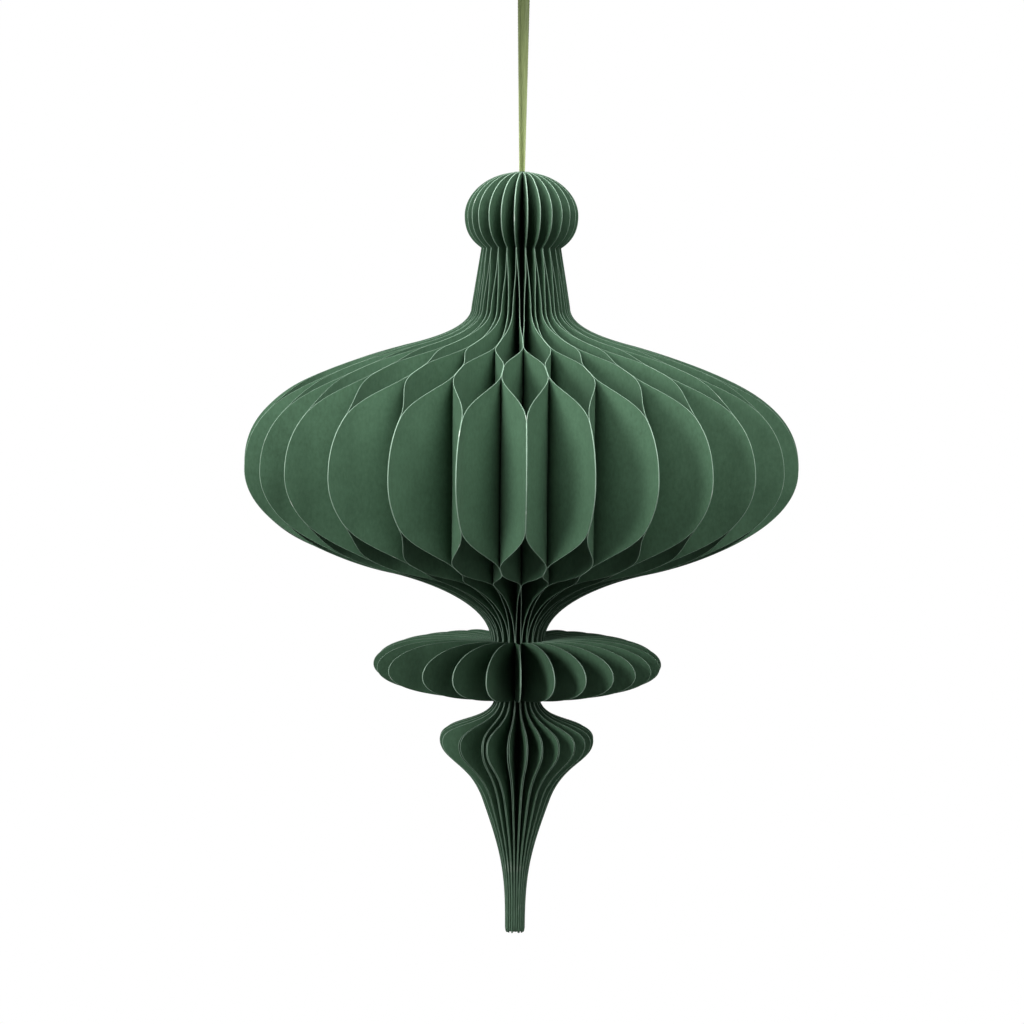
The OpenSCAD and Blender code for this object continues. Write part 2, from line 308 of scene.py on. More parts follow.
@dataclass(frozen=True)
class Silhouette:
    """The cut shape of one leaf, in millimetres below the top of the crown."""

    crown_radius: float = 29.9
    crown_rise: float = 22.8
    notch_depth: float = 39.8
    notch_radius: float = 21.0
    neck_height: float = 30.7
    neck_radius: float = 25.9
    globe_radius: float = 147.5
    globe_rise: float = 84.1
    globe_fall: float = 91.8
    waist_radius: float = 14.4
    saucer_radius: float = 76.2
    saucer_rise: float = 12.9
    saucer_fall: float = 17.7
    throat_radius: float = 12.0
    drop_radius: float = 40.9
    drop_rise: float = 22.1
    drop_length: float = 103.1
    tip_radius: float = 5.3
    tip_corner: float = 2.5
    glue_pitch: float = 41.0
    glue_width: float = 10.0
    rim_glue_depth: float = 11.5
    inner_edge: float = 3.837
    lean_above: tuple[Point, ...] = ((3.8, 0.5), (25.9, 0.6), (35.0, 0.82), (44.0, 1.0))
    lean_below: tuple[Point, ...] = (
        (3.8, 0.5),
        (11.0, 0.2),
        (14.0, 0.03),
        (15.5, 0.26),
        (19.0, 0.46),
        (25.5, 0.66),
        (45.0, 0.92),
        (54.0, 1.0),
    )
    lean_saucer: tuple[Point, ...] = (
        (3.8, 0.5),
        (11.0, 0.12),
        (15.0, 0.05),
        (22.0, 0.5),
        (30.0, 0.88),
        (37.0, 1.0),
    )
    lean_drop: tuple[Point, ...] = ((3.8, 0.4), (5.3, 0.14), (12.0, 0.06), (30.0, 0.05))

    @property
    def neck_foot(self) -> float:
        """Height of the foot of the neck."""
        return -self.notch_depth - self.neck_height

    @property
    def globe_rim(self) -> float:
        """Height of the widest place of the globe."""
        return self.neck_foot - self.globe_rise

    @property
    def waist(self) -> float:
        """Height of the waist under the globe."""
        return self.globe_rim - self.globe_fall

    @property
    def saucer_rim(self) -> float:
        """Height of the rim of the saucer."""
        return self.waist - self.saucer_rise

    @property
    def throat(self) -> float:
        """Height of the throat under the saucer."""
        return self.saucer_rim - self.saucer_fall

    @property
    def drop_rim(self) -> float:
        """Height of the widest place of the drop."""
        return self.throat - self.drop_rise

    @property
    def tip(self) -> float:
        """Height of the end of the tip."""
        return self.drop_rim - self.drop_length

    def crown_edge(self) -> list[Point]:
        """Cut edge of the crown and the neck."""
        over = Slope(
            (0, 0),
            (0.61 * self.crown_radius, 0),
            (self.crown_radius, -0.52 * self.crown_rise),
            (self.crown_radius, -self.crown_rise),
        )
        under = Slope(
            (self.crown_radius, -self.crown_rise),
            (self.crown_radius, -self.crown_rise - 7.5),
            (self.notch_radius + 6.3, -self.notch_depth + 4.3),
            (self.notch_radius, -self.notch_depth),
        )
        neck = [
            (
                mix(self.notch_radius, self.neck_radius, i / 8),
                mix(-self.notch_depth, self.neck_foot, i / 8),
            )
            for i in range(1, 9)
        ]
        top = [p for p in over.points(34) if p[0] > self.inner_edge + 0.8]
        return [(self.inner_edge, 0.0)] + top + under.points(16) + neck

    def globe_edge(self) -> list[Point]:
        """Cut edge of the globe, from the foot of the neck to the waist."""
        shoulder = (0.41 * self.globe_radius, self.neck_foot - 0.24 * self.globe_rise)
        flank = (0.49 * self.globe_radius, self.waist + 0.41 * self.globe_fall)
        fillet = Slope(
            (self.neck_radius, self.neck_foot),
            (self.neck_radius, self.neck_foot - 8.2),
            (shoulder[0] - 23.7, shoulder[1] + 5.7),
            shoulder,
        )
        over = Slope(
            shoulder,
            (0.86 * self.globe_radius, shoulder[1] - 0.22 * self.globe_rise),
            (self.globe_radius, self.globe_rim + 0.33 * self.globe_rise),
            (self.globe_radius, self.globe_rim),
        )
        under = Slope(
            (self.globe_radius, self.globe_rim),
            (self.globe_radius, self.globe_rim - 0.34 * self.globe_fall),
            (flank[0] + 18.6, flank[1] + 3.8),
            flank,
        )
        flare = Slope(
            flank,
            (flank[0] - 31.7, flank[1] - 7.9),
            (self.waist_radius, self.waist + 16.5),
            (self.waist_radius, self.waist),
        )
        return fillet.points(18) + over.points(56) + under.points(56) + flare.points(30)

    def saucer_edge(self) -> list[Point]:
        """Cut edge of the saucer, from the waist to the throat."""
        over = Slope(
            (self.waist_radius, self.waist),
            (
                mix(self.waist_radius, self.saucer_radius, 0.59),
                self.waist + 0.34 * self.saucer_rise,
            ),
            (self.saucer_radius, self.saucer_rim + 0.77 * self.saucer_rise),
            (self.saucer_radius, self.saucer_rim),
        )
        under = Slope(
            (self.saucer_radius, self.saucer_rim),
            (self.saucer_radius, self.saucer_rim - 0.37 * self.saucer_fall),
            (
                mix(self.throat_radius, self.saucer_radius, 0.81),
                self.throat + 0.19 * self.saucer_fall,
            ),
            (self.throat_radius, self.throat),
        )
        return over.points(32) + under.points(32)

    def drop_edge(self) -> list[Point]:
        """Cut edge of the drop, from the throat to the end of the tip."""
        flank = (0.45 * self.drop_radius, self.drop_rim - 0.3 * self.drop_length)
        over = Slope(
            (self.throat_radius, self.throat),
            (self.throat_radius + 1.3, self.throat - 0.63 * self.drop_rise),
            (self.drop_radius, self.drop_rim + 0.49 * self.drop_rise),
            (self.drop_radius, self.drop_rim),
        )
        under = Slope(
            (self.drop_radius, self.drop_rim),
            (self.drop_radius, self.drop_rim - 10.8),
            (flank[0] + 7.3, flank[1] + 18.6),
            flank,
        )
        taper = Slope(
            flank,
            (flank[0] - 10.6, flank[1] - 29.4),
            (self.tip_radius, self.tip + 32.2),
            (self.tip_radius, self.tip + self.tip_corner),
        )
        half_tip = mix(self.inner_edge, self.tip_radius, 0.5)
        corner = [(mix(self.tip_radius, half_tip, 0.4), self.tip + 0.7), (half_tip, self.tip)]
        return over.points(24) + under.points(24) + taper.points(22) + corner

    def outline(self) -> list[Point]:
        """Closed cut edge, anticlockwise, with the straight bound edge at the spine."""
        cut = self.crown_edge() + self.globe_edge() + self.saucer_edge() + self.drop_edge()
        steps = 60
        bound = [(self.inner_edge, mix(self.tip, 0, i / steps)) for i in range(steps)]
        return list(reversed(cut + bound))

    def crown_lean(self, radius: float) -> float:
        """Lean of a leaf in the crown: 0 lies against the neighbour it is glued to there."""
        return 0.5 * (1 - soft_step(self.inner_edge, 13.5, radius))

    def globe_lean(self, radius: float, height: float) -> float:
        """Lean of a leaf in the globe: 1 lies against the neighbour it meets at the rim.

        Args:
            radius: Distance from the spine.
            height: Height from the top of the crown.

        Returns:
            The lean from 0 to 1.
        """
        rim_line = self.globe_radius - self.rim_glue_depth
        globe_line = rim_line - self.glue_pitch
        shoulder_line = globe_line - self.glue_pitch
        half = self.glue_width / 2
        if radius > globe_line:
            return soft_step(globe_line + half, rim_line, radius)
        if radius > shoulder_line:
            return 1 - soft_step(shoulder_line + half, globe_line - half, radius)
        above = between_stops(radius, self.lean_above)
        below = between_stops(radius, self.lean_below)
        return mix(below, above, soft_step(self.globe_rim - 45, self.globe_rim + 45, height))

    def drop_lean(self, radius: float, height: float) -> float:
        """Lean in the drop and its tail, where the crown's pairs lie together again."""
        tail = 1 - soft_step(self.drop_rim - 20, self.drop_rim + 5, height)
        return between_stops(radius, self.lean_drop) + 0.04 * tail

    def in_saucer(self, radius: float, height: float) -> bool:
        """Say whether a place is in the saucer, whose top bulges a little over the waist."""
        top = self.waist + (3 if radius > self.waist_radius + 1 else 0)
        return self.throat < height < top

    def lean(self, radius: float, height: float) -> float:
        """Lean of a leaf at any place on it, from 0 to 1, with 0.5 for an even fan."""
        if height > -self.notch_depth:
            return self.crown_lean(radius)
        if height > self.neck_foot:
            down = soft_step(0, 1, (-self.notch_depth - height) / self.neck_height)
            return mix(self.crown_lean(radius), self.globe_lean(radius, height), down)
        if self.in_saucer(radius, height):
            return between_stops(radius, self.lean_saucer)
        if height > self.waist:
            return self.globe_lean(radius, height)
        return self.drop_lean(radius, height)

    def crown_share(self, radius: float, height: float) -> float:
        """Share of the crown's own turn that a place on a leaf follows."""
        down = soft_step(-self.notch_depth - 0.5 * self.neck_height, -self.notch_depth, height)
        return down * min((radius - self.inner_edge) / (self.notch_radius - self.inner_edge), 1)

    def saucer_share(self, radius: float, height: float) -> float:
        """Share of the saucer's own settling that a place on a leaf follows."""
        if not self.in_saucer(radius, height):
            return 0.0
        out = 1.5 * (radius - self.waist_radius) / (self.saucer_radius - self.waist_radius)
        return min(max(out, 0.0), 1.0)

    def drop_share(self, radius: float, height: float) -> float:
        """Share of the drop's own settling that a place on a leaf follows."""
        if height > self.throat:
            return 0.0
        return max(radius - self.throat_radius, 0.0) / (self.drop_radius - self.throat_radius)

    def edge_paleness_and_painted_shade(self, height: float) -> float:
        """How pale the cut edge is at a height: painted shade dims it towards the tip and at the
        neck.
        """
        stops = (
            (self.tip, 0.3),
            (self.drop_rim - 30, 0.6),
            (self.drop_rim, 0.9),
            (self.waist, 1.0),
            (self.globe_rim, 0.94),
            (self.neck_foot, 0.7),
            (-self.notch_depth, 0.75),
            (-self.crown_rise, 0.92),
            (0.1, 0.92),
        )
        return between_stops(height, stops)

    def slip_share(self, height: float) -> float:
        """Share of the tip's slip that a height follows."""
        return (max(self.throat - height, 0.0) / (self.throat - self.tip)) ** 2


@dataclass
class FlatLeaf:
    """A leaf as it comes from the cutter: flat, closed, with its cut edge marked."""

    shape: Silhouette
    band: float = 0.14
    column_step: float = 3.0
    row_step: float = 9.0

    def inset(self, ring: list[Point], depth: float) -> list[Point]:
        """Move each point of a closed anticlockwise ring inward by a depth."""
        moved = []
        count = len(ring)
        for i, here in enumerate(ring):
            before, after = ring[i - 1], ring[(i + 1) % count]
            along = Vector((after[0] - before[0], after[1] - before[1]))
            along.normalize()
            moved.append((here[0] - along.y * depth, here[1] + along.x * depth))
        return moved

    def inside(self, place: Point, ring: list[Point], margin: float) -> bool:
        """Say whether a place lies in a ring and keeps a margin from its points."""
        x, y = place
        found = False
        for i, (x0, y0) in enumerate(ring):
            x1, y1 = ring[i - 1]
            if (y0 > y) != (y1 > y) and x < (x1 - x0) * (y - y0) / (y1 - y0) + x0:
                found = not found
            if abs(x0 - x) < margin and abs(y0 - y) < margin:
                return False
        return found

    def filling(self, ring: list[Point]) -> list[Point]:
        """Places in upright columns that fill a ring, so that the leaf can bow."""
        places = []
        radius = self.shape.inner_edge + 2
        while radius < self.shape.globe_radius:
            rows = int(-self.shape.tip / self.row_step)
            for row in range(1, rows):
                place = (radius, -row * self.row_step)
                if self.inside(place, ring, 1.3):
                    places.append(place)
            radius += self.column_step
        return places

    def mesh(self) -> bpy.types.Mesh:
        """Make the closed slab: x is the radius in metres, y the side, z the height.

        Returns:
            The mesh, with its lean, its share in each tier's settling, its slip and its
            cut edge, dimmed by painted shade towards the tip, as attributes on its points.
        """
        edge = self.shape.outline()
        inner = self.inset(edge, self.band)
        places = edge + inner + self.filling(inner)
        count = len(edge)
        inner_loop = [(count + i, count + (i + 1) % count) for i in range(count)]
        flat, _, faces, origins, _, _ = delaunay_2d_cdt(
            [Vector(p) for p in places], inner_loop, [list(range(count))], 1, 1e-5
        )
        order = {origin: i for i, found in enumerate(origins) for origin in found}
        rim = [order[i] for i in range(count)]
        size = len(flat)
        points = [(p[0] * MM, side, p[1] * MM) for side in (-1, 1) for p in flat]
        front = [tuple(f) for f in faces]
        back = [tuple(size + i for i in reversed(f)) for f in faces]
        wall = []
        for i, here in enumerate(rim):
            after = rim[(i + 1) % count]
            wall.append((after, here, here + size, after + size))
        mesh = bpy.data.meshes.new("flat_leaf")
        mesh.from_pydata(points, [], front + back + wall)
        on_rim = set(rim)
        bound = self.shape.inner_edge + 0.01
        marks = {
            "lean": [self.shape.lean(*place) for place in flat],
            "crown": [self.shape.crown_share(*place) for place in flat],
            "saucer": [self.shape.saucer_share(*place) for place in flat],
            "drop": [self.shape.drop_share(*place) for place in flat],
            "slip": [self.shape.slip_share(place[1]) for place in flat],
            # cut: pale core of the cut edge, dimmed by painted shade towards the tip and at the
            # neck
            "cut": [
                self.shape.edge_paleness_and_painted_shade(place[1]) if i in on_rim and place[0] > bound else 0.0
                for i, place in enumerate(flat)
            ],
        }
        for name, values in marks.items():
            mesh.attributes.new(name, "FLOAT", "POINT").data.foreach_set("value", values * 2)
        mesh.polygons.foreach_set("use_smooth", [True] * (len(front) * 2) + [False] * len(wall))
        sharp = mesh.attributes.new("sharp_edge", "BOOLEAN", "EDGE")
        borders = {frozenset((a, b)) for a, b in zip(rim, rim[1:] + rim[:1])}
        borders |= {frozenset((a + size, b + size)) for a, b in zip(rim, rim[1:] + rim[:1])}
        for i, line in enumerate(mesh.edges):
            sharp.data[i].value = frozenset(line.vertices) in borders
        mesh.update()
        return mesh


@dataclass
class LeafFan:
    """The identical card leaves, fanned round the spine by a geometry node tree.

    Turns, gapes, slack, reaches and waves are in degrees, lengths in millimetres, and the
    crown's height is in metres.
    """

    shape: Silhouette
    crown_height: float
    count: int = 54
    thickness: float = 0.25
    turn: float = 1.2
    crowding: float = 4.0
    stray: float = 0.3
    stray_step: float = 20.0
    stray_start: float = -10.0
    seam_direction: float = -93.3
    seam_slack: float = 13.2
    seam_reach: float = 44.0
    seam_slope: float = 0.75
    gape_direction: float = -46.7
    gape_reach: float = 100.0
    gape_slope: float = 1.2
    crown_turn: float = -2.0
    saucer_gape: float = 8.0
    drop_gape: float = 12.0
    drop_stray: float = 2.0
    drop_stray_step: float = 35.0
    drop_stray_start: float = 150.0
    drop_pinch: float = 0.85
    pinch_direction: float = -26.7
    pinch_reach: float = 12.0
    tip_slip: float = 0.8
    slip_step: float = 77.0
    tone_step: float = 2.4

    def fan_inputs(self) -> list[tuple[str, Socket, object]]:
        """List the inputs that both node groups take for the way the fan lies.

        Returns:
            Name, kind and default of each input.
        """
        names = ("turn", "crowding", "stray", "seam_direction", "seam_slack", "seam_reach")
        names += ("gape_direction", "gape_reach", "crown_turn", "saucer_gape", "drop_gape")
        names += ("drop_stray", "drop_pinch", "pinch_direction")
        return [("Leaf Count", Socket.NUMBER, float(self.count))] + [
            (name.replace("_", " ").title(), Socket.NUMBER, getattr(self, name))
            for name in names
        ]

    def wave(self, tree: Tree, number: object, step: float, start: float) -> object:
        """Nodes for a wave from -1 to 1 that goes on by a step with each number."""
        return tree.sum("SINE", tree.sum("RADIANS", tree.sum("MULTIPLY_ADD", number, step, start)))

    def fading(self, tree: Tree, past: object, slope: float, most: object, reach: object) -> object:
        """Nodes for a shift that rises from 0 with a slope, then fades over a reach.

        Args:
            tree: The tree that they go into.
            past: Degrees past the place where the shift starts.
            slope: Degrees of shift for each degree past it.
            most: The shift that the fading starts from.
            reach: Degrees past the start where it has faded out.

        Returns:
            The socket with the shift in degrees.
        """
        fade = tree.minus(1.0, tree.over(past, reach))
        least = tree.sum("MINIMUM", tree.times(past, slope), tree.times(most, fade))
        return tree.sum("MAXIMUM", least, 0.0)

    def settling(self, tree: Tree, even: object, turn: object, held: object) -> object:
        """Nodes for the way a plane moves in the crown, the saucer and the drop.

        Args:
            tree: The tree that they go into.
            even: Direction of the plane in an even fan.
            turn: Number of the plane within one turn.
            held: Degrees by which the seam holds the plane back.

        Returns:
            The socket with the degrees that the plane moves by.
        """
        put = tree.source.outputs
        past = tree.minus(tree.plus(put["Gape Direction"], 720.0), even)
        past = tree.sum("MODULO", past, 360.0)
        opened = {}
        for tier in ("Saucer", "Drop"):
            most = put[tier + " Gape"]
            gaping = self.fading(tree, past, self.gape_slope, most, put["Gape Reach"])
            opened[tier] = tree.plus(held, gaping)
        off = tree.plus(tree.minus(even, put["Pinch Direction"]), 540.0)
        off = tree.minus(tree.sum("MODULO", off, 360.0), 180.0)
        near = tree.over(tree.sum("ABSOLUTE", off), self.pinch_reach)
        near = tree.sum("EXPONENT", tree.times(tree.sum("POWER", near, 4.0), -1.0))
        pinched = tree.times(put["Drop Pinch"], off, near)
        wave = self.wave(tree, turn, self.drop_stray_step, self.drop_stray_start)
        stray = tree.times(put["Drop Stray"], wave)
        drop = tree.minus(stray, tree.plus(pinched, opened["Drop"]))
        crown = tree.times(put["Crown Turn"], put["Crown Share"])
        total = tree.sum("MULTIPLY_ADD", drop, put["Drop Share"], crown)
        return tree.minus(total, tree.times(opened["Saucer"], put["Saucer Share"]))

    def plane_group(self) -> bpy.types.NodeTree:
        """Build the node group for the plane where two leaves meet.

        Returns:
            The group, with the plane's number in and its direction in radians out.
        """
        tree = Tree.group(
            "Fold Plane",
            "GeometryNodeTree",
            [("Number", Socket.NUMBER, 0.0)]
            + self.fan_inputs()
            + [(f"{tier} Share", Socket.NUMBER, 0.0) for tier in ("Crown", "Saucer", "Drop")],
            [("Angle", Socket.NUMBER)],
        )
        put = tree.source.outputs
        even = tree.times(put["Number"], tree.over(360.0, put["Leaf Count"]))
        ahead = tree.sum("COSINE", tree.sum("RADIANS", even))
        crowd = tree.times(put["Crowding"], tree.minus(1.0, ahead))
        past = tree.sum("MODULO", tree.minus(even, put["Seam Direction"]), 360.0)
        held = self.fading(tree, past, self.seam_slope, put["Seam Slack"], put["Seam Reach"])
        turn = tree.sum("MODULO", put["Number"], put["Leaf Count"])
        wave = self.wave(tree, turn, self.stray_step, self.stray_start)
        stray = tree.times(put["Stray"], wave)
        angle = tree.minus(tree.plus(even, put["Turn"]), tree.plus(crowd, stray))
        angle = tree.plus(angle, tree.plus(held, self.settling(tree, even, turn, held)))
        tree.feed(tree.sink.inputs["Angle"], tree.sum("RADIANS", angle))
        return tree.tree

    def fan_group(self) -> bpy.types.NodeTree:
        """Build the node group that bends the flat leaf between its two fold planes.

        Returns:
            The group, with the flat leaf and its number in and the fanned leaf out.
        """
        tree = Tree.group(
            "Fanned Leaf",
            "GeometryNodeTree",
            [("Flat Leaf", Socket.GEOMETRY, None), ("Leaf Number", Socket.NUMBER, 0.0)]
            + self.fan_inputs()
            + [
                ("Tip Slip", Socket.NUMBER, self.tip_slip * MM),
                ("Card Thickness", Socket.NUMBER, self.thickness * MM),
                ("Crown Height", Socket.NUMBER, self.crown_height),
                ("Card", Socket.MATERIAL, None),
            ],
            [("Leaf", Socket.GEOMETRY)],
        )
        put = tree.source.outputs
        number = put["Leaf Number"]
        marks = {}
        for mark in ("lean", "crown", "saucer", "drop", "slip"):
            node = tree.add("GeometryNodeInputNamedAttribute", {"Name": mark}, data_type="FLOAT")
            marks[mark] = node.outputs[0]
        plane = self.plane_group()
        planes = []
        for step in (0.0, 1.0):
            node = tree.add("GeometryNodeGroup", node_tree=plane)
            tree.feed(node.inputs["Number"], tree.plus(number, step))
            for tier in ("crown", "saucer", "drop"):
                tree.feed(node.inputs[tier.title() + " Share"], marks[tier])
            for label in node.inputs.keys():
                if label in put:
                    tree.feed(node.inputs[label], put[label])
            planes.append(node.outputs["Angle"])
        low, high = planes
        radius, side, height = tree.parts(tree.add("GeometryNodeInputPosition").outputs[0])
        odd = tree.sum("MODULO", number, 2.0)
        share = tree.between(tree.minus(1.0, marks["lean"]), marks["lean"], odd)
        half = tree.times(put["Card Thickness"], 0.5)
        tilt = tree.sum("ARCSINE", tree.over(half, radius))
        along = tree.between(tree.plus(low, tilt), tree.minus(high, tilt), share)
        across = tree.between(low, high, share)
        off = tree.times(side, half)
        right = tree.times(radius, tree.sum("SINE", along))
        right = tree.plus(right, tree.times(off, tree.sum("COSINE", across)))
        back = tree.times(off, tree.sum("SINE", across))
        back = tree.minus(back, tree.times(radius, tree.sum("COSINE", along)))
        beat = self.wave(tree, number, self.slip_step, 0.0)
        height = tree.plus(height, tree.times(put["Tip Slip"], beat, marks["slip"]))
        bent = tree.vector(right, back, tree.plus(height, put["Crown Height"]))
        feeds = {"Geometry": put["Flat Leaf"], "Position": bent}
        moved = tree.add("GeometryNodeSetPosition", feeds).outputs[0]
        beat = tree.sum("SINE", tree.times(number, self.tone_step))
        tone = tree.sum("MULTIPLY_ADD", beat, 0.5, 0.5)
        toned = tree.add(
            "GeometryNodeStoreNamedAttribute",
            {"Geometry": moved, "Name": "tone", "Value": tone},
            data_type="FLOAT",
            domain="POINT",
        )
        return tree.dressed(toned.outputs[0], put["Card"], "Leaf")

    def build(self, card: bpy.types.Material) -> list[bpy.types.Object]:
        """Make each leaf and let it stand for its solid.

        Args:
            card: The finish of the leaves.

        Returns:
            The leaves, in order round the spine.
        """
        flat = FlatLeaf(self.shape).mesh()
        group = self.fan_group()
        leaves = []
        for number in range(self.count):
            values = {"Leaf Number": float(number), "Card": card}
            leaf = evaluated(f"card_leaf_{number + 1:02d}", flat, group, values)
            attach(leaf, "root")
            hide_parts(f"leaf_{number + 1:02d}")
            leaves.append(leaf)
        return leaves


def evaluated(
    name: str, mesh: bpy.types.Mesh, group: bpy.types.NodeTree, values: dict[str, object]
) -> bpy.types.Object:
    """Run a geometry node tree on a mesh and keep its result as a plain mesh.

    Args:
        name: Name of the new piece.
        mesh: The mesh that the tree works on.
        group: The tree.
        values: Input names and the values they get.

    Returns:
        The new piece, linked to the scene.
    """
    maker = placed(name + "_maker", mesh)
    modifier = maker.modifiers.new("maker", "NODES")
    modifier.node_group = group
    for item in group.interface.items_tree:
        if item.item_type == "SOCKET" and item.in_out == "INPUT" and item.name in values:
            modifier[item.identifier] = values[item.name]
    bpy.context.view_layer.update()
    ready = maker.evaluated_get(bpy.context.evaluated_depsgraph_get())
    result = bpy.data.meshes.new_from_object(ready)
    result.name = name
    maker.modifiers.remove(modifier)
    bpy.data.objects.remove(maker)
    return placed(name, result)


@dataclass
class HangingRibbon:
    """The loop of narrow woven ribbon, folded lengthwise towards the crown."""

    crown_height: float
    width: float = 6.35
    thickness: float = 0.4
    foot_width: float = 2.6
    flat_height: float = 94.0
    picot_pitch: float = 1.6
    picot_depth: float = 0.12
    rings: int = 480
    columns: int = 13
    strand: tuple[Point, ...] = (
        (-1.1, 0),
        (-1.3, 6),
        (-1.8, 16),
        (-2.5, 30),
        (-3.2, 44),
        (-3.9, 58),
        (-4.6, 72),
        (-5.2, 84),
        (-5.7, 94),
        (-6, 100),
        (-5.2, 103),
        (-3, 105.2),
        (0, 106),
    )

    def route(self) -> list[Vector]:
        """Smooth middle line of the ribbon, up one strand and down the other.

        Returns:
            Points in metres in the row's frame.
        """
        back = [(-depth, height) for depth, height in reversed(self.strand[:-1])]
        knots = [Vector((0, d, h)) * MM for d, h in list(self.strand) + back]
        path = []
        last = len(knots) - 1
        for i in range(last):
            before, here = knots[max(i - 1, 0)], knots[i]
            after, beyond = knots[i + 1], knots[min(i + 2, last)]
            for k in range(8):
                t = k / 8
                path.append(
                    0.5
                    * (
                        2 * here
                        + (after - before) * t
                        + (2 * before - 5 * here + 4 * after - beyond) * t * t
                        + (3 * here - before - 3 * after + beyond) * t**3
                    )
                )
        path.append(knots[-1])
        lift = Vector((0, 0, self.crown_height))
        return [p + lift for p in path]

    def ribbon_group(self) -> bpy.types.NodeTree:
        """Build the node group that lays a folded ribbon along a line.

        Returns:
            The group, with the line in and the ribbon out.
        """
        tree = Tree.group(
            "Ribbon On Path",
            "GeometryNodeTree",
            [
                ("Path", Socket.GEOMETRY, None),
                ("Width", Socket.NUMBER, self.width * MM),
                ("Foot Width", Socket.NUMBER, self.foot_width * MM),
                ("Thickness", Socket.NUMBER, self.thickness * MM),
                ("Flat Height", Socket.NUMBER, self.flat_height * MM),
                ("Crown Height", Socket.NUMBER, self.crown_height),
                ("Picot Pitch", Socket.NUMBER, self.picot_pitch * MM),
                ("Picot Depth", Socket.NUMBER, self.picot_depth * MM),
                ("Rings", Socket.COUNT, self.rings),
                ("Path Length", Socket.NUMBER, 0.2),
                ("Cloth", Socket.MATERIAL, None),
            ],
            [("Ribbon", Socket.GEOMETRY)],
        )
        put = tree.source.outputs
        feeds = {
            "Size": (1, 2, 2),
            "Vertices X": put["Rings"],
            "Vertices Y": self.columns,
            "Vertices Z": 2,
        }
        strip = tree.add("GeometryNodeMeshCube", feeds).outputs["Mesh"]
        start, across, face = tree.parts(tree.add("GeometryNodeInputPosition").outputs[0])
        along = tree.plus(start, 0.5)
        aside = tree.times(across, tree.times(put["Width"], 0.5))
        cloth = tree.vector(aside, tree.times(along, put["Path Length"]))
        uv = tree.add(
            "GeometryNodeStoreNamedAttribute",
            {"Geometry": strip, "Name": "UVMap", "Value": cloth},
            data_type="FLOAT2",
            domain="CORNER",
        )
        line = tree.add("GeometryNodeMeshToCurve", {0: put["Path"]}).outputs[0]
        feeds = {"Curves": line, "Factor": along}
        sample = tree.add("GeometryNodeSampleCurve", feeds, mode="FACTOR", use_all_curves=True)
        middle = sample.outputs["Position"]
        outward = tree.vectors("CROSS_PRODUCT", (1, 0, 0), sample.outputs["Tangent"])
        above = tree.minus(tree.parts(middle)[2], put["Crown Height"])
        rise = tree.sum("MINIMUM", tree.over(above, put["Flat Height"]), 1.0)
        folded = tree.between(put["Foot Width"], put["Width"], rise)
        third = tree.over(put["Width"], 3.0)
        turn = tree.over(tree.minus(folded, third), tree.times(third, 2.0))
        bend = tree.sum("ARCCOSINE", turn)
        out = tree.sum("ABSOLUTE", across)
        beyond = tree.sum("MAXIMUM", tree.minus(out, 1 / 3), 0.0)
        flap = tree.times(beyond, 1.5, third)
        angle = tree.times(bend, tree.sum("GREATER_THAN", out, 0.34))
        flat = tree.times(tree.sum("MINIMUM", out, 1 / 3), tree.times(third, 1.5))
        wave = tree.times(along, tree.over(put["Path Length"], put["Picot Pitch"]))
        wave = tree.sum("COSINE", tree.times(wave, math.tau))
        picot = tree.times(tree.minus(wave, 1.0), put["Picot Depth"])
        picot = tree.times(picot, tree.sum("GREATER_THAN", out, 0.99))
        flap = tree.plus(flap, tree.times(picot, 0.5))
        half = tree.times(put["Thickness"], 0.5, face)
        wide = tree.plus(flat, tree.times(flap, tree.sum("COSINE", angle)))
        wide = tree.minus(wide, tree.times(half, tree.sum("SINE", angle)))
        wide = tree.times(wide, tree.sum("SIGN", across))
        deep = tree.times(flap, tree.sum("SINE", angle))
        deep = tree.plus(deep, tree.times(half, tree.sum("COSINE", angle)))
        push = tree.add("ShaderNodeVectorMath", {0: outward, "Scale": deep}, operation="SCALE")
        place = tree.vectors("ADD", middle, push.outputs[0])
        place = tree.vectors("ADD", place, tree.vector(wide))
        feeds = {"Geometry": uv.outputs[0], "Position": place}
        moved = tree.add("GeometryNodeSetPosition", feeds).outputs[0]
        smooth = tree.add("GeometryNodeSetShadeSmooth", {"Geometry": moved}).outputs[0]
        return tree.dressed(smooth, put["Cloth"], "Ribbon")

    def build(self, cloth: bpy.types.Material) -> bpy.types.Object:
        """Args:
            cloth: The finish of the ribbon.

        Returns:
            The ribbon.
        """
        path = self.route()
        length = sum((b - a).length for a, b in zip(path, path[1:]))
        line = bpy.data.meshes.new("ribbon_path")
        line.from_pydata(path, [(i, i + 1) for i in range(len(path) - 1)], [])
        values = {"Path Length": length, "Cloth": cloth}
        ribbon = evaluated("hanging_ribbon_woven", line, self.ribbon_group(), values)
        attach(ribbon, "root")
        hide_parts("hanging_ribbon")
        return ribbon


@dataclass
class SpineBinding:
    """The bound core of the leaves' inner edges."""

    node: str = "spine_binding"

    def dress(self, finish: bpy.types.Material) -> bpy.types.Object:
        """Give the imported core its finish.

        Args:
            finish: The finish of stitched, glued card.

        Returns:
            The core.
        """
        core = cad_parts[self.node]
        core.data.materials.clear()
        core.data.materials.append(finish)
        return core


